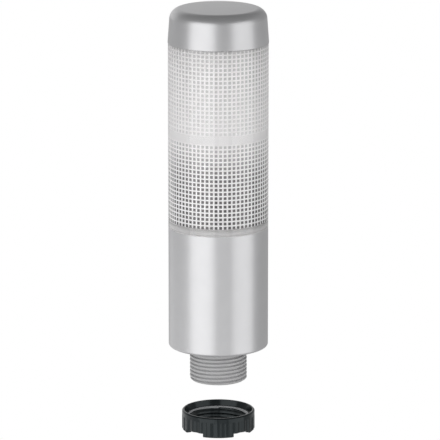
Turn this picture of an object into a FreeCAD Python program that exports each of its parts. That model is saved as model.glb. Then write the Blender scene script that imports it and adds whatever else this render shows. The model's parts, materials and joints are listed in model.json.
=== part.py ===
"""Two-tier stack light: a silver base on a threaded panel spigot, a clear prismatic lens and a silver cap.

Millimetres. +Z runs up the tower. The origin is the centre of the base's underside, which seats on the
panel.
The head (collar, lens and cap) turns on the base by a bayonet, and the black nut runs along the spigot.
"""
import FreeCAD, Part
import math
import os

from FreeCAD import Vector

# Clearances
RUNNING_GAP = 0.3  # between round faces of the head and the base, and of the nut and the spigot
SLIDING_GAP = 0.2  # between flat faces that pass each other
FIXED_GAP = 0.1  # between pieces that are fixed to each other
EDGE_MATCH = 0.01  # how near its place an edge must lie to be picked for rounding

# Base housing
TOWER_RADIUS = 19.0
BASE_HEIGHT = 47.0
BASE_WALL = 2.2
FLOOR_THICKNESS = 4.0
FOOT_ROUNDING = 1.0
SHOULDER_CHAMFER = 0.3
PILLAR_RADIUS = 3.0
PILLAR_IN_WALL = 0.6
PILLAR_COUNT = 3

# Threaded spigot, M22 x 1.5
SPIGOT_RADIUS = 10.9
SPIGOT_REACH = 13.4
SPIGOT_BORE_RADIUS = 8.5
SPIGOT_CHAMFER = 0.7
SPIGOT_SHOULDER = 0.4
FLANGE_THICKNESS = 2.5

# Panel gasket
GASKET_RADIUS = 16.4
GASKET_WIDTH = 3.6
GASKET_THICKNESS = 1.2

# Mounting nut
NUT_RADIUS = 13.95
NUT_HEIGHT = 7.9
NUT_DROP = 25.6  # from the panel plane down to the nut's top while it is off the thread
NUT_RECESS_RADIUS = 12.6
NUT_RECESS_DEPTH = 2.1
NUT_LEAD_IN = 0.5
NUT_BAND_HEIGHT = 2.0
NUT_LUG_COUNT = 4
NUT_LUG_ARC = 51.0
NUT_NOTCH_DEPTH = 1.5
NUT_GRIP_COUNT = 24
NUT_GRIP_DEPTH = 0.35
NUT_GRIP_RADIUS = 2.8
NUT_TOP_CHAMFER = 0.4
NUT_FOOT_CHAMFER = 0.6

# Bayonet between the head and the base
SOCKET_DEPTH = 4.0
SOCKET_WALL = 1.8
BAYONET_RIM = 3.0
BAYONET_COUNT = 3
BAYONET_TURN = 30.0
LUG_ARC = 22.0
LUG_THICKNESS = 2.2
LUG_REACH = 0.9
STOP_ARC = 5.0

# Head collar
COLLAR_WALL = 2.0
COLLAR_FLOOR = 2.5
COLLAR_IN_LENS = 2.0
SEAL_HEIGHT = 1.6
SEAL_DEPTH = 1.0
SEAL_GAP = 0.15

# Lens tube
LENS_HEIGHT = 71.0
LENS_WALL = 2.8
FLUTE_COUNT = 64
FLUTE_DEPTH = 0.45
FLUTE_STEP = 0.05
TIER_HEIGHT = 32.7
LOWER_TIER_START = 2.1
UPPER_TIER_START = 38.1

# Cap
CAP_HEIGHT = 13.0
CAP_OVERHANG = 0.15
CAP_TOP_INSET = 0.8
CAP_ROUNDING = 2.6
CAP_ROOF = 2.2
CAP_PLUG_WALL = 1.6
CAP_PLUG_DEPTH = 2.2
CAP_SEAL_WIDTH = 1.0
CAP_SEAL_THICKNESS = 0.8

# Boards
BOARD_THICKNESS = 1.6
TERMINAL_BOARD_GAP = 0.5
WIRE_SLOT_WIDTH = 14.0
WIRE_SLOT_DEPTH = 3.1
COLUMN_WIDTH = 9.2

# Terminal block, five poles
POLE_COUNT = 5
POLE_WALL = 1.0
BLOCK_DEPTH = 9.0
BLOCK_HEIGHT = 9.5
BLOCK_HEADROOM = 0.5
BLOCK_SIDE_GAP = 0.47
BLOCK_FRONT_SILL = 0.7
CLAMP_HEIGHT = 3.4
CLAMP_LENGTH = 5.4
CLAMP_METAL = 0.5
CLAMP_SILL = 1.2
TERMINAL_SCREW_RADIUS = 0.8
TERMINAL_SCREW_HEAD_RADIUS = 1.4
TERMINAL_SCREW_HEAD = 1.6

# Contact block and springs
CONTACT_FIRST = 1.9
CONTACT_BLOCK_WIDTH = 6.0
CONTACT_BLOCK_MARGIN = 0.9
CONTACT_BLOCK_GAP = 0.3
SPRING_WIDTH = 1.2
SPRING_THICKNESS = 0.3
SPRING_RISE = 3.1
SPRING_SPAN = 5.2
SPRING_FOOT = 0.8
SPRING_CREST = 1.6

# Light emitters
LED_WIDTH = 3.0
LED_HEIGHT = 2.8
LED_DEPTH = 1.4
LEDS_PER_FACE = 4

# Tier divider and top reflector
DIVIDER_HEIGHT = 3.3
DIVIDER_PLATE = 1.2
DIVIDER_RIM = 1.2
REFLECTOR_THICKNESS = 1.6

# Screws
SCREW_RADIUS = 1.2
SCREW_HEAD_RADIUS = 2.0
SCREW_HEAD = 1.5
FLANGE_SCREW_BITE = 2.1
BOARD_SCREW_BITE = 6.0
SMALL_SCREW_RADIUS = 0.9
SMALL_SCREW_HEAD_RADIUS = 1.6
SMALL_SCREW_HEAD = 1.1
SMALL_SCREW_BITE = 1.8
SMALL_SCREW_COUNT = 2

# Radii that follow
CAVITY_RADIUS = TOWER_RADIUS - BASE_WALL
SOCKET_RADIUS = TOWER_RADIUS - SOCKET_WALL
LAND_RADIUS = SOCKET_RADIUS - RUNNING_GAP
LUG_RADIUS = CAVITY_RADIUS - RUNNING_GAP
COLLAR_RADIUS = LUG_RADIUS - LUG_REACH
RIM_RADIUS = COLLAR_RADIUS + RUNNING_GAP
COLLAR_BORE = COLLAR_RADIUS - COLLAR_WALL
LENS_BORE = TOWER_RADIUS - LENS_WALL
INSERT_RADIUS = LENS_BORE - FIXED_GAP
SHOULDER_RADIUS = SPIGOT_RADIUS + SPIGOT_SHOULDER
PILLAR_CIRCLE = CAVITY_RADIUS - PILLAR_RADIUS + PILLAR_IN_WALL
FLANGE_SCREW_CIRCLE = (SHOULDER_RADIUS + CAVITY_RADIUS) / 2
NUT_BORE = SPIGOT_RADIUS + RUNNING_GAP
SMALL_SCREW_CIRCLE = COLLAR_BORE - 2 * FIXED_GAP - SMALL_SCREW_HEAD_RADIUS
GAP_ARC = math.degrees(RUNNING_GAP / LUG_RADIUS)
TERMINAL_BOARD_RADIUS = CAVITY_RADIUS - TERMINAL_BOARD_GAP

# Rows of poles and contacts that follow
FRONT_PILLAR_X = PILLAR_CIRCLE * math.sin(math.radians(180.0 / PILLAR_COUNT))
POLE_PITCH = 2 * (FRONT_PILLAR_X - SCREW_HEAD_RADIUS - BLOCK_SIDE_GAP) / POLE_COUNT
CLAMP_WIDTH = POLE_PITCH - POLE_WALL
BLOCK_FACE = WIRE_SLOT_DEPTH + BLOCK_FRONT_SILL - TERMINAL_BOARD_RADIUS
BLOCK_MIDDLE = BLOCK_FACE + BLOCK_DEPTH / 2
CONTACT_BLOCK_END = PILLAR_CIRCLE - SCREW_HEAD_RADIUS - CONTACT_BLOCK_GAP
CONTACT_PITCH = (CONTACT_BLOCK_END - CONTACT_BLOCK_MARGIN - CONTACT_FIRST) / (POLE_COUNT - 1)

# Levels that follow
RIM_TOP = BASE_HEIGHT - SOCKET_DEPTH
RIM_UNDERSIDE = RIM_TOP - BAYONET_RIM
LUG_TOP = RIM_UNDERSIDE - SLIDING_GAP
LUG_UNDERSIDE = LUG_TOP - LUG_THICKNESS
LAND_UNDERSIDE = RIM_TOP + SLIDING_GAP
SEAL_MIDDLE = (LAND_UNDERSIDE + BASE_HEIGHT) / 2
COLLAR_TOP = BASE_HEIGHT + COLLAR_IN_LENS
COLLAR_CEILING = COLLAR_TOP - COLLAR_FLOOR
CONTACT_BOARD_LEVEL = COLLAR_CEILING - BOARD_THICKNESS
CONTACT_BLOCK_TOP = CONTACT_BOARD_LEVEL - SLIDING_GAP - SPRING_RISE
BLOCK_TOP = LUG_UNDERSIDE - BLOCK_HEADROOM
TERMINAL_BOARD_TOP = BLOCK_TOP - BLOCK_HEIGHT
TERMINAL_BOARD_LEVEL = TERMINAL_BOARD_TOP - BOARD_THICKNESS
CLAMP_FLOOR = TERMINAL_BOARD_TOP + CLAMP_SILL
CLAMP_ROOF = CLAMP_FLOOR + CLAMP_HEIGHT
LENS_TOP = BASE_HEIGHT + LENS_HEIGHT
LOWER_TIER = BASE_HEIGHT + LOWER_TIER_START
UPPER_TIER = BASE_HEIGHT + UPPER_TIER_START
DIVIDER_MIDDLE = (LOWER_TIER + TIER_HEIGHT + UPPER_TIER) / 2
DIVIDER_UNDERSIDE = DIVIDER_MIDDLE - DIVIDER_PLATE / 2
DIVIDER_TOP = DIVIDER_MIDDLE + DIVIDER_PLATE / 2
REFLECTOR_TOP = LENS_TOP - CAP_PLUG_DEPTH
REFLECTOR_UNDERSIDE = REFLECTOR_TOP - REFLECTOR_THICKNESS
COLUMN_TOP = REFLECTOR_TOP - REFLECTOR_THICKNESS / 2
CAP_TOP = LENS_TOP + CAP_HEIGHT
NUT_TOP = -NUT_DROP
NUT_BOTTOM = NUT_TOP - NUT_HEIGHT

AXIS_POINT = Vector(0, 0, 0)
UP = Vector(0, 0, 1)


def turned(outline, arc=360):
    """Revolve a closed outline of (radius, level) corners about the tower's axis."""
    corners = [Vector(radius, 0, level) for radius, level in outline]
    section = Part.Face(Part.makePolygon(corners + corners[:1]))
    return section.revolve(AXIS_POINT, UP, arc)


def drum(radius, bottom, top):
    """Plain cylinder on the tower's axis."""
    return Part.makeCylinder(radius, top - bottom, Vector(0, 0, bottom))


def ring(inner, outer, bottom, top):
    """Flat ring on the tower's axis."""
    return turned([(inner, bottom), (outer, bottom), (outer, top), (inner, top)])


def sector(inner, outer, bottom, top, middle, arc):
    """Piece of a flat ring, arc degrees wide about the direction middle."""
    piece = turned([(inner, bottom), (outer, bottom), (outer, top), (inner, top)], arc)
    piece.rotate(AXIS_POINT, UP, middle - arc / 2)
    return piece


def block(width, depth, bottom, top, x=0.0, y=0.0):
    """Box centred on x and y."""
    return Part.makeBox(width, depth, top - bottom, Vector(x - width / 2, y - depth / 2, bottom))


def post(radius, bottom, top, place):
    """Upright round post or hole at an (x, y) place."""
    return Part.makeCylinder(radius, top - bottom, Vector(place[0], place[1], bottom))


def evenly(count, radius, start=0.0):
    """(x, y) places spread evenly round a circle."""
    angles = [math.radians(start + index * 360.0 / count) for index in range(count)]
    return [(radius * math.cos(angle), radius * math.sin(angle)) for angle in angles]


def cut_all(body, tools):
    """Body less every tool."""
    return body.cut(Part.makeCompound(tools))


def screws(places, seat, radius, head_radius, head_height, length, head_side=1):
    """Pan-head screws with their heads on the level seat, above it or, with head_side -1, below it."""
    made = []
    for x, y in places:
        start = Vector(x, y, seat)
        head = Part.makeCylinder(head_radius, head_height, start, UP * head_side)
        shank = Part.makeCylinder(radius, length, start, UP * -head_side)
        made.append(head.fuse(shank).removeSplitter())
    return Part.makeCompound(made)


def column_slot(bottom, top):
    """Slot that the upright LED board passes through."""
    return block(COLUMN_WIDTH + 2 * FIXED_GAP, BOARD_THICKNESS + 2 * FIXED_GAP, bottom, top)


PILLARS = evenly(PILLAR_COUNT, PILLAR_CIRCLE, 90.0)
FLANGE_SCREWS = evenly(PILLAR_COUNT, FLANGE_SCREW_CIRCLE, 90.0 + 180.0 / PILLAR_COUNT)
SMALL_SCREWS = evenly(SMALL_SCREW_COUNT, SMALL_SCREW_CIRCLE)
BAYONET_SLOTS = [90.0 + index * 360.0 / BAYONET_COUNT for index in range(BAYONET_COUNT)]


def base_housing():
    """Moulded cup with a bayonet rim inside its mouth and board pillars grown into its wall."""
    hole = SHOULDER_RADIUS + FIXED_GAP
    body = turned([
        (hole, 0),
        (TOWER_RADIUS, 0),
        (TOWER_RADIUS, BASE_HEIGHT - SHOULDER_CHAMFER),
        (TOWER_RADIUS - SHOULDER_CHAMFER, BASE_HEIGHT),
        (SOCKET_RADIUS, BASE_HEIGHT),
        (SOCKET_RADIUS, RIM_TOP),
        (RIM_RADIUS, RIM_TOP),
        (RIM_RADIUS, RIM_UNDERSIDE),
        (CAVITY_RADIUS, RIM_UNDERSIDE),
        (CAVITY_RADIUS, FLOOR_THICKNESS),
        (hole, FLOOR_THICKNESS),
    ])
    at_foot = [edge for edge in body.Edges if edge.BoundBox.ZMax < EDGE_MATCH]
    foot = [edge for edge in at_foot if edge.BoundBox.XMax > TOWER_RADIUS - EDGE_MATCH]
    body = body.makeFillet(FOOT_ROUNDING, foot)
    added = [post(PILLAR_RADIUS, FLOOR_THICKNESS, TERMINAL_BOARD_LEVEL, place) for place in PILLARS]
    reach = LUG_ARC / 2 + GAP_ARC + STOP_ARC / 2
    stop_back = CAVITY_RADIUS + FIXED_GAP
    for slot in BAYONET_SLOTS:
        for middle in (slot + reach, slot - BAYONET_TURN - reach):
            added.append(sector(RIM_RADIUS, stop_back, LUG_UNDERSIDE, RIM_UNDERSIDE, middle, STOP_ARC))
    body = body.fuse(added)
    holes = [ring(GASKET_RADIUS - GASKET_WIDTH, GASKET_RADIUS, 0, GASKET_THICKNESS)]
    slot_arc = LUG_ARC + 2 * GAP_ARC
    for slot in BAYONET_SLOTS:
        holes.append(sector(COLLAR_BORE, CAVITY_RADIUS, RIM_UNDERSIDE, RIM_TOP, slot, slot_arc))
    pilot = SCREW_RADIUS + FIXED_GAP
    board_pilot_end = TERMINAL_BOARD_LEVEL - BOARD_SCREW_BITE - FIXED_GAP
    flange_pilot_end = FLOOR_THICKNESS - FLANGE_SCREW_BITE - FIXED_GAP
    holes += [post(pilot, board_pilot_end, TERMINAL_BOARD_LEVEL, place) for place in PILLARS]
    holes += [post(pilot, flange_pilot_end, FLOOR_THICKNESS, place) for place in FLANGE_SCREWS]
    return cut_all(body, holes).removeSplitter()


def threaded_spigot():
    """Hollow stud with an inside flange, notched round the pillars so that it can't turn."""
    flange_top = FLOOR_THICKNESS + FLANGE_THICKNESS
    flange = CAVITY_RADIUS - RUNNING_GAP
    body = turned([
        (SPIGOT_BORE_RADIUS, -SPIGOT_REACH),
        (SPIGOT_RADIUS - SPIGOT_CHAMFER, -SPIGOT_REACH),
        (SPIGOT_RADIUS, SPIGOT_CHAMFER - SPIGOT_REACH),
        (SPIGOT_RADIUS, 0),
        (SHOULDER_RADIUS, 0),
        (SHOULDER_RADIUS, FLOOR_THICKNESS),
        (flange, FLOOR_THICKNESS),
        (flange, flange_top),
        (SPIGOT_BORE_RADIUS, flange_top),
    ])
    holes = [post(PILLAR_RADIUS + RUNNING_GAP, FLOOR_THICKNESS, flange_top, place) for place in PILLARS]
    holes += [post(SCREW_RADIUS + FIXED_GAP, FLOOR_THICKNESS, flange_top, place) for place in FLANGE_SCREWS]
    return cut_all(body, holes)


def spigot_screws():
    seat = FLOOR_THICKNESS + FLANGE_THICKNESS
    length = FLANGE_THICKNESS + FLANGE_SCREW_BITE
    return screws(FLANGE_SCREWS, seat, SCREW_RADIUS, SCREW_HEAD_RADIUS, SCREW_HEAD, length)


def panel_gasket():
    """Flat rubber ring that fills the groove in the base's underside, as it lies when clamped."""
    return ring(GASKET_RADIUS - GASKET_WIDTH + FIXED_GAP, GASKET_RADIUS - FIXED_GAP, 0, GASKET_THICKNESS)


def mounting_nut():
    """Castellated round nut: plain band, ring of shallow finger grips, four lugs below."""
    bore = NUT_BORE
    body = turned([
        (bore, NUT_BOTTOM + NUT_LEAD_IN),
        (bore + NUT_LEAD_IN, NUT_BOTTOM),
        (NUT_RADIUS - NUT_FOOT_CHAMFER, NUT_BOTTOM),
        (NUT_RADIUS, NUT_BOTTOM + NUT_FOOT_CHAMFER),
        (NUT_RADIUS, NUT_TOP - NUT_TOP_CHAMFER),
        (NUT_RADIUS - NUT_TOP_CHAMFER, NUT_TOP),
        (NUT_RECESS_RADIUS, NUT_TOP),
        (NUT_RECESS_RADIUS, NUT_TOP - NUT_RECESS_DEPTH),
        (bore + NUT_LEAD_IN, NUT_TOP - NUT_RECESS_DEPTH),
        (bore, NUT_TOP - NUT_RECESS_DEPTH - NUT_LEAD_IN),
    ])
    grip_circle = NUT_RADIUS - NUT_GRIP_DEPTH + NUT_GRIP_RADIUS
    grip_top = NUT_TOP - NUT_BAND_HEIGHT
    holes = [
        post(NUT_GRIP_RADIUS, NUT_BOTTOM, grip_top, place)
        for place in evenly(NUT_GRIP_COUNT, grip_circle, 180.0 / NUT_GRIP_COUNT)
    ]
    lug_step = 360.0 / NUT_LUG_COUNT
    notch_top = NUT_BOTTOM + NUT_NOTCH_DEPTH
    inner = bore - NUT_LEAD_IN
    outer = NUT_RADIUS + NUT_LEAD_IN
    for index in range(NUT_LUG_COUNT):
        middle = (index + 0.5) * lug_step
        holes.append(sector(inner, outer, NUT_BOTTOM, notch_top, middle, lug_step - NUT_LUG_ARC))
    return cut_all(body, holes)


def terminal_board():
    """Round board on the pillars, slotted where the wires come up."""
    top = TERMINAL_BOARD_TOP
    holes = [post(SCREW_RADIUS + FIXED_GAP, TERMINAL_BOARD_LEVEL, top, place) for place in PILLARS]
    slot_depth = 2 * WIRE_SLOT_DEPTH
    holes.append(block(WIRE_SLOT_WIDTH, slot_depth, TERMINAL_BOARD_LEVEL, top, 0, -TERMINAL_BOARD_RADIUS))
    return cut_all(drum(TERMINAL_BOARD_RADIUS, TERMINAL_BOARD_LEVEL, top), holes)


def board_screws():
    length = BOARD_THICKNESS + BOARD_SCREW_BITE
    return screws(PILLARS, TERMINAL_BOARD_TOP, SCREW_RADIUS, SCREW_HEAD_RADIUS, SCREW_HEAD, length)


def pole_places():
    """Middle of each pole's wire clamp."""
    first = -(POLE_COUNT - 1) / 2 * POLE_PITCH
    middle = BLOCK_FACE + FIXED_GAP + CLAMP_LENGTH / 2
    return [(first + index * POLE_PITCH, middle) for index in range(POLE_COUNT)]


def terminal_block():
    """Screw terminal strip: a screw well above and a clamp pocket in front for each pole."""
    body = block(POLE_COUNT * POLE_PITCH, BLOCK_DEPTH, TERMINAL_BOARD_TOP, BLOCK_TOP, 0, BLOCK_MIDDLE)
    width = CLAMP_WIDTH + 2 * FIXED_GAP
    length = CLAMP_LENGTH + 2 * FIXED_GAP
    well = TERMINAL_SCREW_HEAD_RADIUS + FIXED_GAP
    holes = []
    for x, y in pole_places():
        holes.append(block(width, length, CLAMP_FLOOR - FIXED_GAP, CLAMP_ROOF + FIXED_GAP, x, y))
        holes.append(post(well, CLAMP_ROOF + FIXED_GAP, BLOCK_TOP, (x, y)))
    return cut_all(body, holes)


def terminal_clamps():
    """Metal wire cages, open at both ends, that the terminal screws close."""
    made = []
    mouth = CLAMP_WIDTH - 2 * CLAMP_METAL
    for x, y in pole_places():
        cage = block(CLAMP_WIDTH, CLAMP_LENGTH, CLAMP_FLOOR, CLAMP_ROOF, x, y)
        way = block(mouth, CLAMP_LENGTH, CLAMP_FLOOR + CLAMP_METAL, CLAMP_ROOF - 2 * CLAMP_METAL, x, y)
        thread = post(TERMINAL_SCREW_RADIUS + FIXED_GAP, CLAMP_FLOOR + CLAMP_METAL, CLAMP_ROOF, (x, y))
        made.append(cut_all(cage, [way, thread]))
    return Part.makeCompound(made)


def terminal_screws():
    seat = CLAMP_ROOF + FIXED_GAP
    length = 3 * CLAMP_METAL
    head = TERMINAL_SCREW_HEAD_RADIUS
    return screws(pole_places(), seat, TERMINAL_SCREW_RADIUS, head, TERMINAL_SCREW_HEAD, length)


def contact_block():
    """Tall insulator that lifts the contact springs to the head's contact board."""
    start = CONTACT_FIRST - CONTACT_BLOCK_MARGIN
    reach = CONTACT_BLOCK_END - start
    return block(CONTACT_BLOCK_WIDTH, reach, TERMINAL_BOARD_TOP, CONTACT_BLOCK_TOP, 0, start + reach / 2)


def contact_springs():
    """Bent strips, one for each ring track, that press up on the contact board."""
    low = CONTACT_BLOCK_TOP
    high = low + SPRING_RISE
    end = SPRING_SPAN / 2
    bend = end - SPRING_FOOT
    crest = SPRING_CREST / 2
    lean = SPRING_THICKNESS / 2
    outer = [(-end, low + SPRING_THICKNESS), (-bend, low + SPRING_THICKNESS), (-crest, high)]
    outer += [(-x, z) for x, z in reversed(outer)]
    inner = [(end, low), (bend - lean, low), (crest - lean, high - SPRING_THICKNESS)]
    inner += [(-x, z) for x, z in reversed(inner)]
    made = []
    for index in range(POLE_COUNT):
        y = CONTACT_FIRST + index * CONTACT_PITCH - SPRING_WIDTH / 2
        corners = [Vector(x, y, z) for x, z in outer + inner]
        strip = Part.Face(Part.makePolygon(corners + corners[:1]))
        made.append(strip.extrude(Vector(0, SPRING_WIDTH, 0)))
    return Part.makeCompound(made)


def head_collar():
    """Moulded cup under the lens: its floor closes the head and its lugs turn under the base's rim."""
    body = turned([
        (0, COLLAR_CEILING),
        (COLLAR_BORE, COLLAR_CEILING),
        (COLLAR_BORE, LUG_UNDERSIDE),
        (COLLAR_RADIUS, LUG_UNDERSIDE),
        (COLLAR_RADIUS, LAND_UNDERSIDE),
        (LAND_RADIUS, LAND_UNDERSIDE),
        (LAND_RADIUS, COLLAR_TOP),
        (0, COLLAR_TOP),
    ])
    lugs = [
        sector(COLLAR_RADIUS - FIXED_GAP, LUG_RADIUS, LUG_UNDERSIDE, LUG_TOP, slot - BAYONET_TURN, LUG_ARC)
        for slot in BAYONET_SLOTS
    ]
    body = body.fuse(lugs)
    half_groove = SEAL_HEIGHT / 2 + FIXED_GAP
    groove_floor = LAND_RADIUS - SEAL_DEPTH
    holes = [
        ring(groove_floor, SOCKET_RADIUS, SEAL_MIDDLE - half_groove, SEAL_MIDDLE + half_groove),
        column_slot(COLLAR_CEILING, COLLAR_TOP),
    ]
    pilot = SMALL_SCREW_RADIUS + FIXED_GAP
    pilot_top = COLLAR_CEILING + SMALL_SCREW_BITE + FIXED_GAP
    holes += [post(pilot, COLLAR_CEILING, pilot_top, place) for place in SMALL_SCREWS]
    return cut_all(body, holes)


def head_seal():
    """Square rubber ring in the collar's groove that seals in the base's socket."""
    inner = LAND_RADIUS - SEAL_DEPTH + FIXED_GAP
    outer = SOCKET_RADIUS - SEAL_GAP
    return ring(inner, outer, SEAL_MIDDLE - SEAL_HEIGHT / 2, SEAL_MIDDLE + SEAL_HEIGHT / 2)


def contact_board():
    """Round board under the collar's floor that carries the ring tracks."""
    disc = drum(COLLAR_BORE - FIXED_GAP, CONTACT_BOARD_LEVEL, COLLAR_CEILING)
    holes = [
        post(SMALL_SCREW_RADIUS + FIXED_GAP, CONTACT_BOARD_LEVEL, COLLAR_CEILING, place)
        for place in SMALL_SCREWS
    ]
    return cut_all(disc, holes)


def contact_board_screws():
    length = BOARD_THICKNESS + SMALL_SCREW_BITE
    return screws(
        SMALL_SCREWS,
        CONTACT_BOARD_LEVEL,
        SMALL_SCREW_RADIUS,
        SMALL_SCREW_HEAD_RADIUS,
        SMALL_SCREW_HEAD,
        length,
        head_side=-1,
    )


def column_board():
    """Upright board that carries the light emitters of both tiers."""
    return block(COLUMN_WIDTH, BOARD_THICKNESS, COLLAR_CEILING, COLUMN_TOP)


def tier_leds(floor, ceiling):
    """Emitters on both faces of the upright board, evenly between one tier's floor and ceiling."""
    made = []
    step = (ceiling - floor) / LEDS_PER_FACE
    for index in range(LEDS_PER_FACE):
        bottom = floor + (index + 0.5) * step - LED_HEIGHT / 2
        for side in (-1, 1):
            y = side * (BOARD_THICKNESS + LED_DEPTH) / 2
            made.append(block(LED_WIDTH, LED_DEPTH, bottom, bottom + LED_HEIGHT, 0, y))
    return Part.makeCompound(made)


def tier_divider():
    """White dish with a rim both ways that parts the two tiers."""
    well = INSERT_RADIUS - DIVIDER_RIM
    rim_foot = DIVIDER_MIDDLE - DIVIDER_HEIGHT / 2
    rim_top = DIVIDER_MIDDLE + DIVIDER_HEIGHT / 2
    body = turned([
        (0, DIVIDER_UNDERSIDE),
        (well, DIVIDER_UNDERSIDE),
        (well, rim_foot),
        (INSERT_RADIUS, rim_foot),
        (INSERT_RADIUS, rim_top),
        (well, rim_top),
        (well, DIVIDER_TOP),
        (0, DIVIDER_TOP),
    ])
    return body.cut(column_slot(DIVIDER_UNDERSIDE, DIVIDER_TOP))


def top_reflector():
    """White disc under the cap that steadies the upright board's top."""
    disc = drum(INSERT_RADIUS, REFLECTOR_UNDERSIDE, REFLECTOR_TOP)
    return disc.cut(column_slot(REFLECTOR_UNDERSIDE, REFLECTOR_TOP))


def lens_tube():
    """One clear tube round both tiers, smooth outside, with upright prisms down each tier's inner wall."""
    rebate = LAND_RADIUS + FIXED_GAP
    body = turned([
        (rebate, BASE_HEIGHT),
        (TOWER_RADIUS, BASE_HEIGHT),
        (TOWER_RADIUS, LENS_TOP),
        (LENS_BORE, LENS_TOP),
        (LENS_BORE, COLLAR_TOP + FIXED_GAP),
        (rebate, COLLAR_TOP + FIXED_GAP),
    ])
    crest = LENS_BORE + FLUTE_STEP
    corners = []
    for index in range(2 * FLUTE_COUNT):
        angle = math.pi * index / FLUTE_COUNT
        radius = crest if index % 2 else crest + FLUTE_DEPTH
        corners.append(Vector(radius * math.cos(angle), radius * math.sin(angle), 0))
    star = Part.Face(Part.makePolygon(corners + corners[:1])).extrude(UP * TIER_HEIGHT)
    tiers = []
    for bottom in (LOWER_TIER, UPPER_TIER):
        tier = star.copy()
        tier.translate(UP * bottom)
        tiers.append(tier)
    return cut_all(body, tiers)


def cap():
    """Drafted silver cap with a rounded crown and a plug that centres it in the lens."""
    plug = INSERT_RADIUS - CAP_PLUG_WALL
    crown = TOWER_RADIUS - CAP_TOP_INSET
    body = turned([
        (plug, REFLECTOR_TOP),
        (INSERT_RADIUS, REFLECTOR_TOP),
        (INSERT_RADIUS, LENS_TOP),
        (TOWER_RADIUS + CAP_OVERHANG, LENS_TOP),
        (crown, CAP_TOP),
        (0, CAP_TOP),
        (0, CAP_TOP - CAP_ROOF),
        (plug, CAP_TOP - CAP_ROOF),
    ])
    crown_edge = [edge for edge in body.Edges if edge.BoundBox.ZMin > CAP_TOP - EDGE_MATCH]
    body = body.makeFillet(CAP_ROUNDING, crown_edge)
    return body.cut(cap_seal_groove())


def cap_seal_middle():
    """Middle radius of the seal between the cap and the lens's top face."""
    return (LENS_BORE + TOWER_RADIUS) / 2


def cap_seal_groove():
    half = CAP_SEAL_WIDTH / 2 + FIXED_GAP
    return ring(cap_seal_middle() - half, cap_seal_middle() + half, LENS_TOP, LENS_TOP + CAP_SEAL_THICKNESS)


def cap_seal():
    half = CAP_SEAL_WIDTH / 2
    return ring(cap_seal_middle() - half, cap_seal_middle() + half, LENS_TOP, LENS_TOP + CAP_SEAL_THICKNESS)


NODES = {
    "base_housing": base_housing,
    "threaded_spigot": threaded_spigot,
    "spigot_screws": spigot_screws,
    "panel_gasket": panel_gasket,
    "terminal_board": terminal_board,
    "board_screws": board_screws,
    "terminal_block": terminal_block,
    "terminal_clamps": terminal_clamps,
    "terminal_screws": terminal_screws,
    "contact_block": contact_block,
    "contact_springs": contact_springs,
    "mounting_nut": mounting_nut,
    "head_collar": head_collar,
    "head_seal": head_seal,
    "contact_board": contact_board,
    "contact_board_screws": contact_board_screws,
    "column_board": column_board,
    "lower_leds": lambda: tier_leds(COLLAR_TOP, DIVIDER_UNDERSIDE),
    "upper_leds": lambda: tier_leds(DIVIDER_TOP, REFLECTOR_UNDERSIDE),
    "tier_divider": tier_divider,
    "top_reflector": top_reflector,
    "lens_tube": lens_tube,
    "cap": cap,
    "cap_seal": cap_seal,
}

os.makedirs("parts", exist_ok=True)
for name, make in NODES.items():
    shape = make()
    if not shape.isValid():
        raise ValueError(f"{name} is not a valid shape")
    shape.exportStep(f"parts/{name}.step")
    print(f"{name}: {len(shape.Solids)} solids, {shape.Volume:.1f} cubic millimetres")
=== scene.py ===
import bmesh
import bpy
import json
import math

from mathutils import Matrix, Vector


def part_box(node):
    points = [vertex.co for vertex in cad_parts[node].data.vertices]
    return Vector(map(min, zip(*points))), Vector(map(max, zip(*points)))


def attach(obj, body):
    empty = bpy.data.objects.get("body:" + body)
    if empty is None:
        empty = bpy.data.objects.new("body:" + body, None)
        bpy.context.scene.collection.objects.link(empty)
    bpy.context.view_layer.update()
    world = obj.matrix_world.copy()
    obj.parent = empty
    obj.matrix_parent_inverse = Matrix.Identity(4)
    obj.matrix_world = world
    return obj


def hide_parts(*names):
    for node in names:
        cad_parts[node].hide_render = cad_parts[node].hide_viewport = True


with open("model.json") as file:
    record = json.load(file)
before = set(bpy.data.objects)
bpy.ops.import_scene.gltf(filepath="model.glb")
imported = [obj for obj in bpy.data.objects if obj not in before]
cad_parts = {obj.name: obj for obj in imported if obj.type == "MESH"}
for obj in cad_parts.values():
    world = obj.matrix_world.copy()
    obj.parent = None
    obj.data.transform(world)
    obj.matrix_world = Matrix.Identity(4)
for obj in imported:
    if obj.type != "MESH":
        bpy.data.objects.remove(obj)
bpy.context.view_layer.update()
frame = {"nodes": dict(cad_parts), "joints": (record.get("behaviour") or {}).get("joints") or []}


# Base housing
# A moulded plastic cup with a rounded foot, three screw pillars and the bayonet's slots in its rim.
# It is sprayed outside with satin silver lacquer, whose fine metal flake spreads the light.
mm = 0.001
nodes = frame["nodes"]
cloud_coarseness = 25
edge_samples = 6


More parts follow.
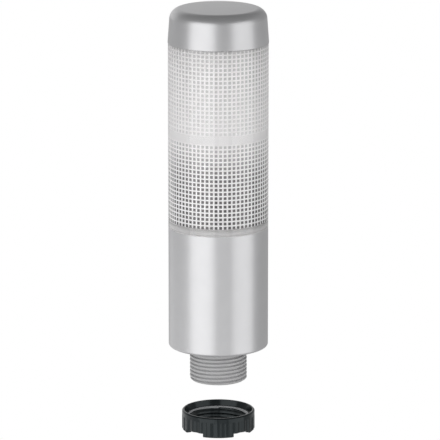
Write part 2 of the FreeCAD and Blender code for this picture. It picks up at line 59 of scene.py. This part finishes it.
def plastic(
    name, colour, roughness, metallic=0.0, grain_scale=900.0, relief=0.02, mottle=0.04, edge=0.0, **sockets,
):
    """A moulded, sprayed or plated finish, whose colour and gloss vary a little over a fine grain.

    relief is the grain's depth and edge the softening of sharp edges, both in millimetres.
    Any further socket of the shader is named with underscores for its blanks.
    """
    material = bpy.data.materials.new(name)
    material.use_nodes = True
    tree = material.node_tree
    shader = tree.nodes["Principled BSDF"]
    shader.inputs["Metallic"].default_value = metallic
    for socket, value in sockets.items():
        shader.inputs[socket.replace("_", " ")].default_value = value
    place = tree.nodes.new("ShaderNodeTexCoord")
    grain = tree.nodes.new("ShaderNodeTexNoise")
    grain.inputs["Scale"].default_value = grain_scale
    grain.inputs["Detail"].default_value = 3.0
    tree.links.new(place.outputs["Object"], grain.inputs["Vector"])
    cloud = tree.nodes.new("ShaderNodeTexNoise")
    cloud.inputs["Scale"].default_value = grain_scale / cloud_coarseness
    cloud.inputs["Detail"].default_value = 2.0
    tree.links.new(place.outputs["Object"], cloud.inputs["Vector"])
    tint = tree.nodes.new("ShaderNodeMapRange")
    tint.inputs["To Min"].default_value = 1.0 - mottle
    tint.inputs["To Max"].default_value = 1.0 + mottle
    tree.links.new(cloud.outputs["Fac"], tint.inputs["Value"])
    paint = tree.nodes.new("ShaderNodeVectorMath")
    paint.operation = "SCALE"
    paint.inputs[0].default_value = colour
    tree.links.new(tint.outputs["Result"], paint.inputs["Scale"])
    tree.links.new(paint.outputs["Vector"], shader.inputs["Base Color"])
    gloss = tree.nodes.new("ShaderNodeMapRange")
    gloss.inputs["To Min"].default_value = roughness - mottle
    gloss.inputs["To Max"].default_value = roughness + mottle
    tree.links.new(grain.outputs["Fac"], gloss.inputs["Value"])
    tree.links.new(gloss.outputs["Result"], shader.inputs["Roughness"])
    bump = tree.nodes.new("ShaderNodeBump")
    bump.inputs["Strength"].default_value = 1.0
    bump.inputs["Distance"].default_value = relief * mm
    tree.links.new(grain.outputs["Fac"], bump.inputs["Height"])
    tree.links.new(bump.outputs["Normal"], shader.inputs["Normal"])
    if edge:
        rounding = tree.nodes.new("ShaderNodeBevel")
        rounding.samples = edge_samples
        rounding.inputs["Radius"].default_value = edge * mm
        tree.links.new(rounding.outputs["Normal"], bump.inputs["Normal"])
    return material


def dress(node, material):
    """Gives a CAD node its finish."""
    nodes[node].data.materials.clear()
    nodes[node].data.materials.append(material)


silver = plastic("silver_lacquer", (0.60, 0.60, 0.61), 0.34, metallic=0.75, grain_scale=4000.0, relief=0.004)
dress("base_housing", silver)


# Panel gasket
# A moulded rubber ring, square in section, pressed into the groove in the housing's underside.
# The nut's pull flattens it against the panel. The two head seals are cut from the same rubber.
rubber = plastic("black_rubber", (0.025, 0.025, 0.027), 0.6)
dress("panel_gasket", rubber)


# Threaded spigot
# Moulded in grey glass-filled nylon with its flange, and hollow, so that the wires pass through it.
# The M22 x 1.5 thread is moulded on, rounded by the tool and chamfered at its end.
spare_turns = 2
cut_slack = 1e-7
level_slack = 1e-6
weld = 0.001 * mm
thread_weld = 0.002 * mm
join_weld = 0.0005 * mm
hair = 0.01 * mm


def thread_wall(mesh, profile, pitch, bottom, top, steps):
    """Sweeps one tooth of a right-hand thread past both ends, welds the turns and trims them."""
    chain = [mesh.verts.new((radius, 0, bottom - spare_turns * pitch + height)) for radius, height in profile]
    run = [mesh.edges.new(pair) for pair in zip(chain, chain[1:])]
    turns = math.ceil((top - bottom) / pitch) + 2 * spare_turns
    bmesh.ops.spin(
        mesh, geom=chain + run, cent=(0, 0, 0), axis=(0, 0, 1), dvec=(0, 0, pitch / steps),
        angle=2 * math.pi * turns, steps=steps * turns, use_merge=False, use_duplicate=False,
    )
    bmesh.ops.remove_doubles(mesh, verts=mesh.verts, dist=thread_weld)
    cut_level(mesh, bottom, keep=1)
    cut_level(mesh, top, keep=-1)


def cut_level(mesh, level, keep=0):
    """Cuts a mesh at a level, and drops what lies below it (keep 1) or above it (keep -1)."""
    bmesh.ops.bisect_plane(
        mesh, geom=mesh.verts[:] + mesh.edges[:] + mesh.faces[:], dist=cut_slack,
        plane_co=(0, 0, level), plane_no=(0, 0, -keep or 1), clear_outer=bool(keep),
    )


def distance_out(vert):
    """How far a vertex lies from the tower's axis."""
    return math.hypot(vert.co.x, vert.co.y)


def push_to(vert, radius):
    """Moves a vertex straight out or in to a radius."""
    stretch = radius / distance_out(vert)
    vert.co.x *= stretch
    vert.co.y *= stretch


def cad_copy(node):
    """A merged copy of a CAD node's mesh, to work on."""
    mesh = bmesh.new()
    mesh.from_mesh(nodes[node].data)
    bmesh.ops.remove_doubles(mesh, verts=mesh.verts, dist=weld)
    return mesh


def rim(mesh, level):
    """Open edges that lie on a level."""
    return [
        edge for edge in mesh.edges
        if edge.is_boundary and all(abs(vert.co.z - level) < level_slack for vert in edge.verts)
    ]


def drawn_on(mesh, edges):
    """Extrudes open edges in place, and gives back the new vertices to move."""
    grown = bmesh.ops.extrude_edge_only(mesh, edges=edges)["geom"]
    return [item for item in grown if isinstance(item, bmesh.types.BMVert)]


def close_thread(mesh, bottom, top, back):
    """Gives a trimmed thread its end faces and a plain wall at the back."""
    for level in (bottom, top):
        for vert in drawn_on(mesh, rim(mesh, level)):
            push_to(vert, back)
    bmesh.ops.bridge_loops(mesh, edges=[edge for edge in mesh.edges if edge.is_boundary])
    bmesh.ops.recalc_face_normals(mesh, faces=mesh.faces)


def joined(body, tool, operation):
    """Adds one closed bmesh to another or takes it away, and gives back the result."""
    pair = []
    for mesh in (body, tool):
        data = bpy.data.meshes.new("joining")
        mesh.to_mesh(data)
        mesh.free()
        pair.append(bpy.data.objects.new("joining", data))
        bpy.context.scene.collection.objects.link(pair[-1])
    step = pair[0].modifiers.new("joining", "BOOLEAN")
    step.object = pair[1]
    step.operation = operation
    step.solver = "EXACT"
    bpy.context.view_layer.update()
    result = bmesh.new()
    result.from_object(pair[0], bpy.context.evaluated_depsgraph_get())
    bmesh.ops.remove_doubles(result, verts=result.verts, dist=join_weld)
    for piece in pair:
        data = piece.data
        bpy.data.objects.remove(piece)
        bpy.data.meshes.remove(data)
    return result


def finish_piece(mesh, name, materials, crease=30.0):
    """Turns a bmesh into a named piece, smooth up to the crease angle, with its materials."""
    for face in mesh.faces:
        face.smooth = True
    for edge in mesh.edges:
        edge.smooth = edge.calc_face_angle(math.pi) < math.radians(crease)
    data = bpy.data.meshes.new(name)
    mesh.to_mesh(data)
    mesh.free()
    piece = bpy.data.objects.new(name, data)
    bpy.context.scene.collection.objects.link(piece)
    for material in materials:
        data.materials.append(material)
    return piece


grey_plastic = plastic("grey_plastic", (0.53, 0.53, 0.535), 0.5)
thread_pitch = 1.5 * mm
thread_crest = 10.9 * mm
thread_root = 10.0 * mm
thread_rounding = 0.1 * mm
thread_steps = 72
spigot_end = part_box("threaded_spigot")[0].z
spigot_chamfer = 0.7 * mm
spigot_neck = -0.2 * mm
thread_start = spigot_neck - 0.3 * mm
spigot_core = thread_root + 0.02 * mm
thread_back = 9.5 * mm
thread_tooth = [
    (thread_root, 0.0), (thread_root, 0.24 * mm), (thread_crest - thread_rounding, 0.50 * mm),
    (thread_crest, 0.64 * mm), (thread_crest, 1.12 * mm), (thread_crest - thread_rounding, 1.26 * mm),
    (thread_root, thread_pitch),
]
thread_gap_middle = 0.12 * mm
spigot_body = cad_copy("threaded_spigot")
cut_level(spigot_body, spigot_neck)
cut_level(spigot_body, thread_start)
for vert in spigot_body.verts:
    if vert.co.z < thread_start + hair and distance_out(vert) > thread_back:
        push_to(vert, spigot_core)
thread = bmesh.new()
thread_wall(thread, thread_tooth, thread_pitch, spigot_end, thread_start, thread_steps)
cut_level(thread, spigot_end + spigot_chamfer)
for vert in thread.verts:
    limit = thread_crest - spigot_chamfer + max(vert.co.z - spigot_end, 0.0)
    if distance_out(vert) > limit:
        push_to(vert, limit)
close_thread(thread, spigot_end, thread_start, thread_back)
spigot = joined(spigot_body, thread, "UNION")
spigot = finish_piece(spigot, "threaded_spigot_moulding", [grey_plastic])
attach(spigot, "base")
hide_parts("threaded_spigot")


# Spigot screws
# Three plated thread-forming screws that hold the spigot's flange to the housing's floor.
# Every other screw and the terminal clamps have the same bright zinc plating.
zinc = plastic("plated_metal", (0.6, 0.6, 0.58), 0.3, metallic=1.0)
dress("spigot_screws", zinc)


# Terminal board
# A round glass-epoxy board with green solder mask, routed with a slot for the wires.
# It rests on the housing's three pillars.
green_mask = plastic("green_board", (0.02, 0.16, 0.07), 0.3)
dress("terminal_board", green_mask)


# Board screws
# Three plated screws that fix the terminal board to the pillars.
# Their heads sit clear of the block above.
dress("board_screws", zinc)


# Terminal block
# Five poles moulded in one grey strip, soldered to the board, with funnels for the screwdriver.
# The wires enter from the slot's side.
terminal_grey = plastic("terminal_plastic", (0.35, 0.36, 0.37), 0.45)
dress("terminal_block", terminal_grey)


# Terminal clamps and screws
# A plated brass cage and a slotted steel screw for each pole.
# The screw pulls the cage up on to the wire's end.
dress("terminal_clamps", zinc)
dress("terminal_screws", zinc)


# Contact block
# A black insulator that stands on the terminal board and guides the five spring contacts.
# It is staked to the board from below.
insulator = plastic("insulator_plastic", (0.04, 0.04, 0.042), 0.45)
dress("contact_block", insulator)


# Contact springs
# Five bent strips of bare phosphor bronze, one for each track of the board above.
# They press up against the tracks when the head is turned home.
bronze = plastic("spring_bronze", (0.7, 0.45, 0.2), 0.3, metallic=1.0)
dress("contact_springs", bronze)


# Mounting nut
# Moulded in glossy black nylon, with a recess round its bore, finger grips and four lugs at its foot.
# Its female M22 x 1.5 thread has a chamfered entry, given a paler finish as a painted highlight of the light the ring
# catches.
black_plastic = plastic(
    "black_plastic", (0.006, 0.009, 0.010), 0.18, relief=0.003, edge=0.2, Specular_IOR_Level=0.35,
    Specular_Tint=(0.88, 0.97, 1.0, 1.0),
)
# Paler grey for the thread's chamfered entry ring: a painted highlight.
painted_highlight_plastic = plastic("painted_highlight_plastic", (0.40, 0.41, 0.42), 0.3, relief=0.003)
nut_low, nut_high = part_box("mounting_nut")
nut_bore = 11.2 * mm
nut_recess = 12.6 * mm
nut_recess_top = 13.05 * mm
nut_recess_foot = 12.25 * mm
nut_recess_floor = nut_high.z - 2.1 * mm
nut_recess_middle = nut_recess_floor + 1 * mm
nut_recess_slack = 0.02 * mm
nut_thread_crest = 10.3 * mm
nut_thread_root = 11.0 * mm
nut_thread_back = nut_bore + 0.1 * mm
nut_thread_top = nut_recess_floor - 0.52 * mm
nut_thread_foot = nut_low.z + 0.52 * mm
nut_notch_top = nut_low.z + 1.52 * mm
nut_notch_start = nut_low.z - 1 * mm
nut_notch_reach = (6 * mm, 13 * mm)
nut_notch_half = math.radians(19.7)
nut_lug_count = 4
nut_lug_step = 360 / nut_lug_count
nut_lead_in = 0.9 * mm
nut_highlight_ring = 0.3 * mm
nut_highlight_ring_slack = 0.05 * mm
nut_tooth_middle = 0.75 * mm
nut_tooth = [
    (nut_thread_root, 0.0), (nut_thread_root, 0.36 * mm), (nut_thread_crest, 0.65 * mm),
    (nut_thread_crest, 0.85 * mm), (nut_thread_root, 1.14 * mm), (nut_thread_root, thread_pitch),
]
nut_run = next(joint for joint in frame["joints"] if joint["name"] == "nut_travel")["range_m"][1]
nut_tooth_shift = (spigot_end + thread_gap_middle - nut_thread_foot - nut_run - nut_tooth_middle) % thread_pitch
nut_tooth = [(radius, height + nut_tooth_shift) for radius, height in nut_tooth]
nut_body = cad_copy("mounting_nut")
for vert in nut_body.verts:
    if abs(distance_out(vert) - nut_recess) < nut_recess_slack:
        push_to(vert, nut_recess_top if vert.co.z > nut_recess_middle else nut_recess_foot)
tooth = bmesh.new()
thread_wall(tooth, nut_tooth, thread_pitch, nut_thread_foot, nut_thread_top, thread_steps)
cut_level(tooth, nut_thread_foot + nut_lead_in)
cut_level(tooth, nut_thread_top - nut_lead_in)
cut_level(tooth, nut_thread_top - nut_highlight_ring)
for vert in tooth.verts:
    limit = nut_bore - min(vert.co.z - nut_thread_foot, nut_thread_top - vert.co.z)
    if distance_out(vert) < limit:
        push_to(vert, limit)
close_thread(tooth, nut_thread_foot, nut_thread_top, nut_thread_back)
notches = bmesh.new()
for index in range(nut_lug_count):
    middle = math.radians(nut_lug_step * (index + 0.5))
    inside, outside = nut_notch_reach
    corners = [
        notches.verts.new((reach * math.cos(middle + turn), reach * math.sin(middle + turn), nut_notch_start))
        for reach, turn in (
            (inside, -nut_notch_half), (outside, -nut_notch_half), (outside, nut_notch_half), (inside, nut_notch_half),
        )
    ]
    raised = bmesh.ops.extrude_face_region(notches, geom=[notches.faces.new(corners)])["geom"]
    for vert in (item for item in raised if isinstance(item, bmesh.types.BMVert)):
        vert.co.z = nut_notch_top
bmesh.ops.recalc_face_normals(notches, faces=notches.faces)
nut = joined(nut_body, joined(tooth, notches, "DIFFERENCE"), "UNION")
# The chamfer ring's faces take the paler finish, a painted highlight.
for face in nut.faces:
    if all(
        nut_thread_top - nut_highlight_ring - hair < vert.co.z < nut_recess_floor + hair
        and abs(distance_out(vert) - nut_bore - vert.co.z + nut_thread_top) < nut_highlight_ring_slack
        for vert in face.verts
    ):
        face.material_index = 1
nut = finish_piece(nut, "mounting_nut_moulding", [black_plastic, painted_highlight_plastic])
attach(nut, "nut")
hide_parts("mounting_nut")


# Head collar
# The grey moulded cup under the lens that carries the head's boards.
# Its three bayonet lugs pass the slots in the housing's rim and turn under it.
collar_plastic = plastic("collar_plastic", (0.2, 0.2, 0.21), 0.5)
dress("head_collar", collar_plastic)


# Head seal
# A square rubber ring that lies round the collar.
# It closes the joint between the head and the housing.
dress("head_seal", rubber)


# Contact board and its screws
# A round green board with ring tracks on its underside, for the springs to press on.
# Two plated screws hold it in the collar.
dress("contact_board", green_mask)
dress("contact_board_screws", zinc)


# Column board
# A narrow upright board with white solder mask, which throws the light outwards.
# It stands in the contact board and runs up through both zones.
white_mask = plastic("white_board", (0.7, 0.71, 0.72), 0.35)
dress("column_board", white_mask)


# Emitters
# Eight surface-mounted emitters in each zone, four on either face of the column board.
# Each is a small block of yellowish phosphor resin, soldered at its ends.
resin = plastic("led_resin", (0.85, 0.82, 0.6), 0.3)
dress("lower_leds", resin)
dress("upper_leds", resin)


# Tier divider and top reflector
# Moulded in white plastic and slid on to the column board.
# The dish keeps each zone's light to itself, and the disc under the cap steadies the board's top.
white_plastic = plastic("white_plastic", (0.8, 0.81, 0.82), 0.5)
dress("tier_divider", white_plastic)
dress("top_reflector", white_plastic)


# Lens tube
# Injection-moulded in clear polycarbonate: polished outside, with a grid of small pyramids sunk in its inner wall.
# Their sloped sides are painted pale as lit frosted plastic, with painted shade at the skirt, the band and under the
# cap, and their flats are painted shade for the darker inside, deeper towards the tower's foot.
def lets_lamps_through(material):
    """Clear plastic that casts no shadow of its own."""
    tree = material.node_tree
    lamps = tree.nodes.new("ShaderNodeBsdfTransparent")
    path = tree.nodes.new("ShaderNodeLightPath")
    mix = tree.nodes.new("ShaderNodeMixShader")
    tree.links.new(path.outputs["Is Shadow Ray"], mix.inputs["Fac"])
    tree.links.new(tree.nodes["Principled BSDF"].outputs["BSDF"], mix.inputs[1])
    tree.links.new(lamps.outputs["BSDF"], mix.inputs[2])
    tree.links.new(mix.outputs["Shader"], tree.nodes["Material Output"].inputs["Surface"])


def paint_light_and_shade_by_height(material, stops):
    """Paints light and shade on a finish by height instead, from a list of (level, grey) stops."""
    tree = material.node_tree
    place = tree.nodes.new("ShaderNodeTexCoord")
    split = tree.nodes.new("ShaderNodeSeparateXYZ")
    tree.links.new(place.outputs["Object"], split.inputs["Vector"])
    scale = tree.nodes.new("ShaderNodeMapRange")
    scale.inputs["From Min"].default_value = stops[0][0]
    scale.inputs["From Max"].default_value = stops[-1][0]
    tree.links.new(split.outputs["Z"], scale.inputs["Value"])
    ramp = tree.nodes.new("ShaderNodeValToRGB")
    span = stops[-1][0] - stops[0][0]
    for index, (level, grey) in enumerate(stops):
        at = (level - stops[0][0]) / span
        if index in (0, len(stops) - 1):
            stop = ramp.color_ramp.elements[0 if index == 0 else -1]
        else:
            stop = ramp.color_ramp.elements.new(at)
        stop.color = (grey, grey * tone_green, grey, 1.0)
    tree.links.new(scale.outputs["Result"], ramp.inputs["Fac"])
    tree.links.new(ramp.outputs["Color"], tree.nodes["Principled BSDF"].inputs["Base Color"])


lens_low, lens_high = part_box("lens_tube")
tower_r = lens_high.x
lens_bottom, lens_top = lens_low.z, lens_high.z
lens_foot = lens_bottom + 0.03 * mm
lens_lip_in = tower_r - 0.29 * mm
lens_lip_end = lens_bottom - 0.25 * mm
bore_r = 16.2 * mm
rebate_r = 17.0 * mm
rebate_top = lens_bottom + 2.1 * mm
row_count = 20
column_count = 64
tier_height = 32.7 * mm
tier_starts = (rebate_top, lens_bottom + 38.1 * mm)
band_start, band_end = rebate_top + tier_height, tier_starts[1]
cell_height = tier_height / row_count
cell_slope = 0.29 * mm
cell_depth = 0.4 * mm
lens_crease = 8.0
wall_slack = 0.1 * mm
tone_edge = 0.1 * mm
tone_green = 0.995

clear_skin = plastic(
    "clear_polycarbonate", (0.985, 0.975, 0.975), 0.06, IOR=1.586, Transmission_Weight=1.0, relief=0.0002, mottle=0.01,
)
lets_lamps_through(clear_skin)
# The two finishes' own colours give way to painted light and shade by height.
slopes_painted_light_and_shade = plastic("prism_slopes_painted_light_and_shade", (0.80, 0.80, 0.81), 0.5)
# Slopes: painted light, with painted shade at the skirt, the band and the top edge under the cap.
paint_light_and_shade_by_height(slopes_painted_light_and_shade, [
    (lens_lip_end, 0.75), (rebate_top - tone_edge, 0.34), (rebate_top + tone_edge, 0.87),
    (lens_bottom + 10 * mm, 0.92), (band_start - tone_edge, 0.90), (band_start + tone_edge, 0.72),
    (band_end - tone_edge, 0.72), (band_end + tone_edge, 0.88), (lens_top - 10 * mm, 0.91),
    (lens_top - 1 * mm, 0.86), (lens_top, 0.5),
])
flats_painted_shade = plastic("prism_flats_painted_shade", (0.1, 0.1, 0.1), 0.4)
# Flats: painted shade for the dark inside, darkest at the tower's foot.
paint_light_and_shade_by_height(flats_painted_shade, [
    (lens_bottom, 0.035), (lens_bottom + 10 * mm, 0.05), (lens_bottom + 22 * mm, 0.115), (band_end - 5 * mm, 0.46),
    (band_end, 0.64), (band_end + 12 * mm, 0.57), (lens_top - 10 * mm, 0.51), (lens_top, 0.52),
])

lens = bmesh.new()
outline = [
    (rebate_r, lens_foot), (lens_lip_in, lens_foot), (tower_r, lens_lip_end), (tower_r, lens_top), (bore_r, lens_top),
]
for start in reversed(tier_starts):
    outline += [(bore_r, start + cell_height * row) for row in range(row_count, -1, -1)]
outline.append((rebate_r, rebate_top))
section = [lens.verts.new((r, 0, z)) for r, z in outline]
edges = [lens.edges.new(pair) for pair in zip(section, section[1:] + section[:1])]
bmesh.ops.spin(
    lens, geom=section + edges, cent=(0, 0, 0), axis=(0, 0, 1), dvec=(0, 0, 0),
    angle=2 * math.pi, steps=column_count, use_merge=True, use_duplicate=False,
)
bmesh.ops.remove_doubles(lens, verts=lens.verts, dist=weld)
bmesh.ops.recalc_face_normals(lens, faces=lens.faces)
cells = []
for face in lens.faces:
    radius = max(distance_out(vert) for vert in face.verts)
    levels = [vert.co.z for vert in face.verts]
    if radius < bore_r + wall_slack and abs(max(levels) - min(levels) - cell_height) < hair:
        cells.append(face)
    if radius < rebate_r + wall_slack or max(levels) < lens_foot + hair:
        face.material_index = 1
bmesh.ops.inset_individual(lens, faces=cells, thickness=cell_slope, depth=-cell_depth, use_even_offset=True)
for face in cells:
    face.material_index = 2
lens = finish_piece(lens, "lens", [clear_skin, slopes_painted_light_and_shade, flats_painted_shade], crease=lens_crease)
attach(lens, "head")
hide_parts("lens_tube")


# Cap seal
# A square rubber ring in the cap's groove.
# The lens's top edge presses into it.
dress("cap_seal", rubber)


# Cap
# Moulded and lacquered with the housing. Its crown is generously rounded, and a plug below centres it in the lens.
# It is welded to the lens, and turned here with the crown's full rounding.
cap_low, cap_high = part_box("cap")
cap_rim = cap_high.x
cap_draft = 0.95 * mm
cap_plug_gap = 0.1 * mm
cap_plug_wall = 1.6 * mm
cap_roof_wall = 2.2 * mm
cap_crown = cap_rim - cap_draft
cap_plug = bore_r - cap_plug_gap
cap_plug_bore = cap_plug - cap_plug_wall
cap_roof = cap_high.z - cap_roof_wall
cap_steps = 96
crown_rounding = 3.8 * mm
crown_segments = 14
seal_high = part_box("cap_seal")[1]
groove_gap = 0.1 * mm
groove_width = 1.2 * mm
groove_out = seal_high.x + groove_gap
groove_in = groove_out - groove_width
cap = bmesh.new()
outline = [
    (0, cap_high.z), (cap_crown, cap_high.z), (cap_rim, lens_top), (groove_out, lens_top), (groove_out, seal_high.z),
    (groove_in, seal_high.z), (groove_in, lens_top), (cap_plug, lens_top), (cap_plug, cap_low.z),
    (cap_plug_bore, cap_low.z), (cap_plug_bore, cap_roof), (0, cap_roof),
]
section = [cap.verts.new((r, 0, z)) for r, z in outline]
edges = [cap.edges.new(pair) for pair in zip(section, section[1:])]
bmesh.ops.spin(
    cap, geom=section + edges, cent=(0, 0, 0), axis=(0, 0, 1), dvec=(0, 0, 0),
    angle=2 * math.pi, steps=cap_steps, use_merge=True, use_duplicate=False,
)
bmesh.ops.remove_doubles(cap, verts=cap.verts, dist=weld)
bmesh.ops.recalc_face_normals(cap, faces=cap.faces)
crown_edges = [
    edge for edge in cap.edges
    if all(vert.co.z > cap_high.z - hair and distance_out(vert) > cap_crown - wall_slack for vert in edge.verts)
]
bmesh.ops.bevel(
    cap, geom=crown_edges, offset=crown_rounding, offset_type="OFFSET", affect="EDGES", segments=crown_segments,
    profile=0.5, material=-1, clamp_overlap=True,
)
cap = finish_piece(cap, "cap_moulding", [silver])
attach(cap, "head")
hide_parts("cap")


# Camera
# A long lens from well in front, a little above the tower's top, so that the verticals stay straight.
# It looks just above the housing's rim, and a colour is shown as it is written.
camera_place = Vector((0.0, -1.55, 0.4156))
camera_aim = Vector((0.0, 0.0, 0.04902))
camera_data = bpy.data.cameras.new("camera")
camera_data.sensor_width = 36.0
camera_data.lens = 342.4
camera_data.shift_x = 0.0038
camera_data.clip_end = 100.0
camera = bpy.data.objects.new("camera", camera_data)
bpy.context.scene.collection.objects.link(camera)
camera.location = camera_place
camera.rotation_mode = "QUATERNION"
camera.rotation_quaternion = (camera_aim - camera_place).to_track_quat("-Z", "Y")
bpy.context.scene.camera = camera
bpy.context.scene.view_settings.view_transform = "Standard"


# Studio floor
# A pale sheet well below the tower, because the light is shown hanging free, with no ground under it.
# It is white where it is looked at directly, and lit like the room for all else.
def white_seen_directly(tree, lit, out, gloss_share):
    """White for what looks at it straight or through clear plastic, paler in gloss; lit for all other light."""
    path = tree.nodes.new("ShaderNodeLightPath")
    glow = tree.nodes.new("ShaderNodeEmission" if out.type == "OUTPUT_MATERIAL" else "ShaderNodeBackground")
    glow.inputs["Color"].default_value = (1, 1, 1, 1)
    glow.inputs["Strength"].default_value = 1.0
    either = tree.nodes.new("ShaderNodeMath")
    either.operation = "MAXIMUM"
    tree.links.new(path.outputs["Is Camera Ray"], either.inputs[0])
    tree.links.new(path.outputs["Is Transmission Ray"], either.inputs[1])
    pale = tree.nodes.new("ShaderNodeMath")
    pale.operation = "MULTIPLY"
    pale.inputs[1].default_value = gloss_share
    tree.links.new(path.outputs["Is Glossy Ray"], pale.inputs[0])
    share = tree.nodes.new("ShaderNodeMath")
    share.operation = "MAXIMUM"
    tree.links.new(either.outputs[0], share.inputs[0])
    tree.links.new(pale.outputs[0], share.inputs[1])
    mix = tree.nodes.new("ShaderNodeMixShader")
    tree.links.new(share.outputs[0], mix.inputs["Fac"])
    tree.links.new(lit.outputs[0], mix.inputs[1])
    tree.links.new(glow.outputs[0], mix.inputs[2])
    tree.links.new(mix.outputs[0], out.inputs["Surface"])


floor_level = -0.8
floor_half = 20.0
floor_gloss_share = 0.32
floor_mesh = bpy.data.meshes.new("floor")
grid = bmesh.new()
bmesh.ops.create_grid(grid, x_segments=1, y_segments=1, size=floor_half)
bmesh.ops.translate(grid, verts=grid.verts, vec=(0, 0, floor_level))
grid.to_mesh(floor_mesh)
grid.free()
floor = bpy.data.objects.new("floor", floor_mesh)
bpy.context.scene.collection.objects.link(floor)
floor_material = bpy.data.materials.new("studio_floor")
floor_material.use_nodes = True
floor_tree = floor_material.node_tree
floor_shader = floor_tree.nodes["Principled BSDF"]
floor_shader.inputs["Base Color"].default_value = (0.8, 0.8, 0.8, 1)
floor_shader.inputs["Roughness"].default_value = 0.9
white_seen_directly(floor_tree, floor_shader, floor_tree.nodes["Material Output"], floor_gloss_share)
floor_mesh.materials.append(floor_material)


# Studio room
# Pale walls, lighter behind the tower on its left, under a dimmer ceiling.
# The lacquer's edges and the crown's rounding show them.
def fade(tree, value, start, end, low, high):
    """Maps a value smoothly from one range to another."""
    step = tree.nodes.new("ShaderNodeMapRange")
    step.interpolation_type = "SMOOTHSTEP"
    step.inputs["From Min"].default_value = start
    step.inputs["From Max"].default_value = end
    step.inputs["To Min"].default_value = low
    step.inputs["To Max"].default_value = high
    tree.links.new(value, step.inputs["Value"])
    return step.outputs["Result"]


brighter_way = (-0.4, 0.9, 0.0)
wall_light = 0.36
bright_wall_light = 0.9
ceiling_share = 0.55
world_gloss_share = 0.0
world = bpy.data.worlds.new("studio")
bpy.context.scene.world = world
world.use_nodes = True
room = world.node_tree
sky = room.nodes["Background"]
sky.inputs["Color"].default_value = (1, 1, 1, 1)
way = room.nodes.new("ShaderNodeTexCoord")
height = room.nodes.new("ShaderNodeSeparateXYZ")
room.links.new(way.outputs["Generated"], height.inputs["Vector"])
behind = room.nodes.new("ShaderNodeVectorMath")
behind.operation = "DOT_PRODUCT"
behind.inputs[1].default_value = brighter_way
room.links.new(way.outputs["Generated"], behind.inputs[0])
level = room.nodes.new("ShaderNodeMath")
level.operation = "MULTIPLY"
walls = fade(room, behind.outputs["Value"], start=0.68, end=0.97, low=wall_light, high=bright_wall_light)
ceiling = fade(room, height.outputs["Z"], start=0.2, end=0.9, low=1.0, high=ceiling_share)
room.links.new(walls, level.inputs[0])
room.links.new(ceiling, level.inputs[1])
room.links.new(level.outputs[0], sky.inputs["Strength"])
white_seen_directly(room, sky, room.nodes["World Output"], world_gloss_share)


# Studio lamps
# Two tall softboxes give the silver its two bands of light, the left one the brighter.
# A low fill on the left lifts the tower's edge, and a small one in front the dark band between the two.
tower_middle = Vector((0, 0, 0.05))


def softbox(name, azimuth, elevation, distance, width, tall, power):
    """Flat soft lamp that looks at the tower's middle."""
    lamp = bpy.data.lights.new(name, "AREA")
    lamp.shape = "RECTANGLE"
    lamp.size = width
    lamp.size_y = tall
    lamp.energy = power
    holder = bpy.data.objects.new(name, lamp)
    bpy.context.scene.collection.objects.link(holder)
    turn, tilt = math.radians(azimuth), math.radians(elevation)
    way = Vector((math.sin(turn) * math.cos(tilt), -math.cos(turn) * math.cos(tilt), math.sin(tilt)))
    holder.location = tower_middle + way * distance
    holder.rotation_mode = "QUATERNION"
    holder.rotation_quaternion = way.to_track_quat("Z", "Y")
    holder.visible_camera = False


softbox("left_softbox", azimuth=-38.5, elevation=0, distance=1.2, width=1.42, tall=1.6, power=8.8)
softbox("left_low_fill", azimuth=-112, elevation=-27, distance=1.2, width=1.9, tall=0.6, power=1.5)
softbox("front_fill", azimuth=12, elevation=-17, distance=1.3, width=0.5, tall=0.5, power=0.42)
softbox("right_softbox", azimuth=59, elevation=0, distance=1.2, width=1.25, tall=1.6, power=5.75)
